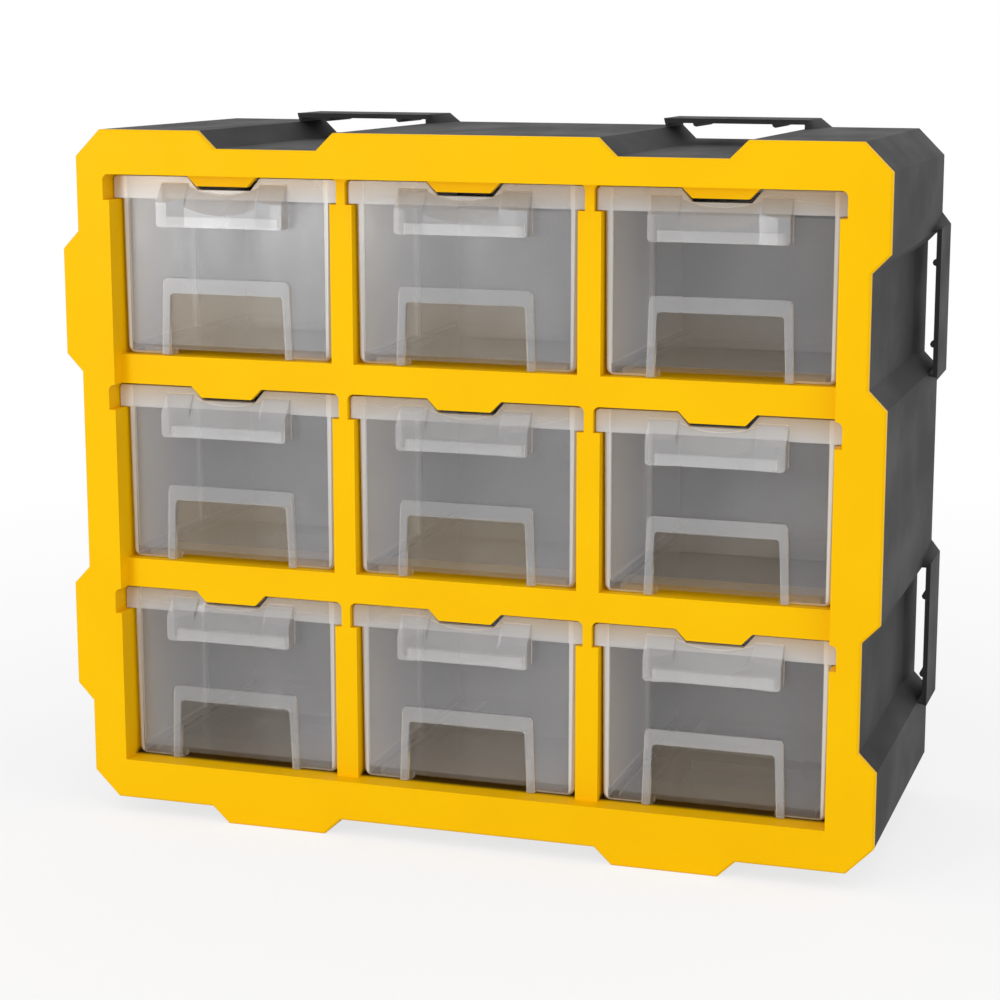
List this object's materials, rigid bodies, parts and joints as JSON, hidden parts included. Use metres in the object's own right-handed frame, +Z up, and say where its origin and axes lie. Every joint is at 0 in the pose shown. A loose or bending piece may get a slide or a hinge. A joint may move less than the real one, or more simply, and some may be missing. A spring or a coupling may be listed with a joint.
{
  "type": "parts drawer cabinet",
  "caption": "Stackable small-parts cabinet: yellow front frame with sliding frosted drawers, dark housing with interlocking rails, channels and strap loops.",
  "frame": {"origin": "middle of the footprint, on the surface that the cabinet stands on", "axes": "+X to the right, +Y to the back so that the drawers open towards -Y, +Z up"},
  "size_m": [0.3302, 0.128, 0.2802],
  "materials": {
    "frame_yellow": "satin, dyed through",
    "housing_grey": "fine matte grain",
    "drawer_frosted": "frosted translucent",
    "divider_frosted": "frosted translucent"
  },
  "bodies": {
    "cabinet": {"front_frame": "frame_yellow", "rear_housing": "housing_grey", "shelf_lower": "housing_grey", "shelf_upper": "housing_grey", "partition_left": "housing_grey", "partition_right": "housing_grey"},
    "tray_bottom_left": {"drawer_bottom_left": "drawer_frosted", "divider_bottom_left": "divider_frosted"},
    "tray_bottom_centre": {"drawer_bottom_centre": "drawer_frosted", "divider_bottom_centre": "divider_frosted"},
    "tray_bottom_right": {"drawer_bottom_right": "drawer_frosted", "divider_bottom_right": "divider_frosted"},
    "tray_middle_left": {"drawer_middle_left": "drawer_frosted", "divider_middle_left": "divider_frosted"},
    "tray_middle_centre": {"drawer_middle_centre": "drawer_frosted", "divider_middle_centre": "divider_frosted"},
    "tray_middle_right": {"drawer_middle_right": "drawer_frosted", "divider_middle_right": "divider_frosted"},
    "tray_top_left": {"drawer_top_left": "drawer_frosted", "divider_top_left": "divider_frosted"},
    "tray_top_centre": {"drawer_top_centre": "drawer_frosted", "divider_top_centre": "divider_frosted"},
    "tray_top_right": {"drawer_top_right": "drawer_frosted", "divider_top_right": "divider_frosted"}
  },
  "joints": [
    {"name": "slide_bottom_left", "type": "slide", "parent": "cabinet", "child": "tray_bottom_left", "axis": [0, -1, 0], "range_m": [0, 0.11]},
    {"name": "slide_bottom_centre", "type": "slide", "parent": "cabinet", "child": "tray_bottom_centre", "axis": [0, -1, 0], "range_m": [0, 0.11]},
    {"name": "slide_bottom_right", "type": "slide", "parent": "cabinet", "child": "tray_bottom_right", "axis": [0, -1, 0], "range_m": [0, 0.11]},
    {"name": "slide_middle_left", "type": "slide", "parent": "cabinet", "child": "tray_middle_left", "axis": [0, -1, 0], "range_m": [0, 0.11]},
    {"name": "slide_middle_centre", "type": "slide", "parent": "cabinet", "child": "tray_middle_centre", "axis": [0, -1, 0], "range_m": [0, 0.11]},
    {"name": "slide_middle_right", "type": "slide", "parent": "cabinet", "child": "tray_middle_right", "axis": [0, -1, 0], "range_m": [0, 0.11]},
    {"name": "slide_top_left", "type": "slide", "parent": "cabinet", "child": "tray_top_left", "axis": [0, -1, 0], "range_m": [0, 0.11]},
    {"name": "slide_top_centre", "type": "slide", "parent": "cabinet", "child": "tray_top_centre", "axis": [0, -1, 0], "range_m": [0, 0.11]},
    {"name": "slide_top_right", "type": "slide", "parent": "cabinet", "child": "tray_top_right", "axis": [0, -1, 0], "range_m": [0, 0.11]}
  ]
}
